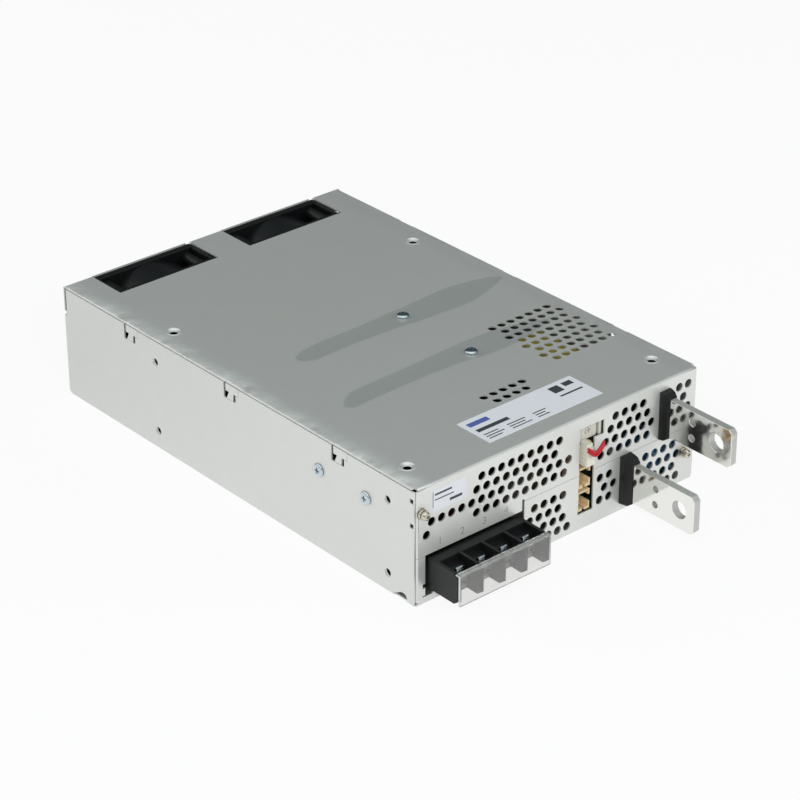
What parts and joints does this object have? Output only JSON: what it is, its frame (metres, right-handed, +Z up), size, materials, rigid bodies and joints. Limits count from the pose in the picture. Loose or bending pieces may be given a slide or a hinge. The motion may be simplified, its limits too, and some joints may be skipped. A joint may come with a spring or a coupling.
{
  "type": "chassis mount switching power supply",
  "caption": "Enclosed switching power supply in a vented galvanised case, with a screw terminal block, signal connectors, plated output bars and rear fans",
  "frame": {"origin": "centre of the case's footprint on its underside", "axes": "+Z up, terminals and bars at the -Y end, fans at the +Y end, +X to the right seen from the front"},
  "size_m": [0.1795, 0.3173, 0.0622],
  "materials": {
    "galvanised_steel": "zinc-coated sheet, satin, as rolled",
    "plated_steel": "bright zinc or nickel plate",
    "black_plastic": "moulded, fine matt texture",
    "clear_plastic": "clear moulded polycarbonate",
    "plated_copper": "tin-plated copper bar, bright faces, sheared edges",
    "circuit_board": "green solder resist",
    "aluminium": "extruded, as drawn",
    "moulded_package": "moulded epoxy",
    "copper_winding": "enamelled wire",
    "film_box": "moulded box",
    "ceramic": "glazed tube",
    "can_sleeve": "shrink sleeve",
    "yellow_tape": "polyester winding tape",
    "ferrite": "pressed and ground",
    "cream_nylon": "moulded natural nylon",
    "trimmer_plastic": "moulded",
    "red_insulation": "PVC insulation",
    "label_film": "printed film"
  },
  "bodies": {
    "supply": {"chassis": "galvanised_steel", "top_cover": "galvanised_steel", "heatsink_screws": "plated_steel", "side_screws": "plated_steel", "panel_screws": "plated_steel", "panel_washers": "plated_steel", "fan_screws": "plated_steel", "terminal_plates": "plated_steel", "terminal_washers": "plated_steel", "terminal_screws": "plated_steel", "board_posts": "plated_steel", "board_screws": "plated_steel", "header_pins": "plated_steel", "terminal_block": "black_plastic", "upper_bar_bushing": "black_plastic", "lower_bar_bushing": "black_plastic", "fan_frame_left": "black_plastic", "fan_frame_right": "black_plastic", "transformer_base": "black_plastic", "terminal_cover": "clear_plastic", "upper_bus_bar": "plated_copper", "lower_bus_bar": "plated_copper", "main_board": "circuit_board", "signal_board": "circuit_board", "front_heatsink": "aluminium", "rear_heatsink": "aluminium", "power_transistors": "moulded_package", "bridge_rectifiers": "moulded_package", "inrush_relay": "moulded_package", "line_chokes": "copper_winding", "boost_choke": "copper_winding", "output_choke": "copper_winding", "fan_stator_left": "copper_winding", "fan_stator_right": "copper_winding", "film_capacitors": "film_box", "input_fuse": "ceramic", "bulk_capacitors": "can_sleeve", "output_capacitors": "can_sleeve", "transformer_winding": "yellow_tape", "transformer_core": "ferrite", "signal_headers": "cream_nylon", "jumper_plug": "cream_nylon", "trimmer_body": "cream_nylon", "jumper_wires": "red_insulation", "rating_label": "label_film", "front_label": "label_film"},
    "left_rotor": {"fan_rotor_left": "black_plastic"},
    "right_rotor": {"fan_rotor_right": "black_plastic"},
    "trimmer": {"trimmer_screw": "trimmer_plastic"}
  },
  "joints": [
    {"name": "left_fan_turn", "type": "hinge", "parent": "supply", "child": "left_rotor", "pos_m": [-0.041, 0.1217, 0.0301], "axis": [0, 1, 0], "continuous": true},
    {"name": "right_fan_turn", "type": "hinge", "parent": "supply", "child": "right_rotor", "pos_m": [0.041, 0.1217, 0.0301], "axis": [0, 1, 0], "continuous": true},
    {"name": "trimmer_turn", "type": "hinge", "parent": "supply", "child": "trimmer", "pos_m": [0.01915, -0.132, 0.05095], "axis": [0, -1, 0], "range_deg": [-135, 135]}
  ]
}
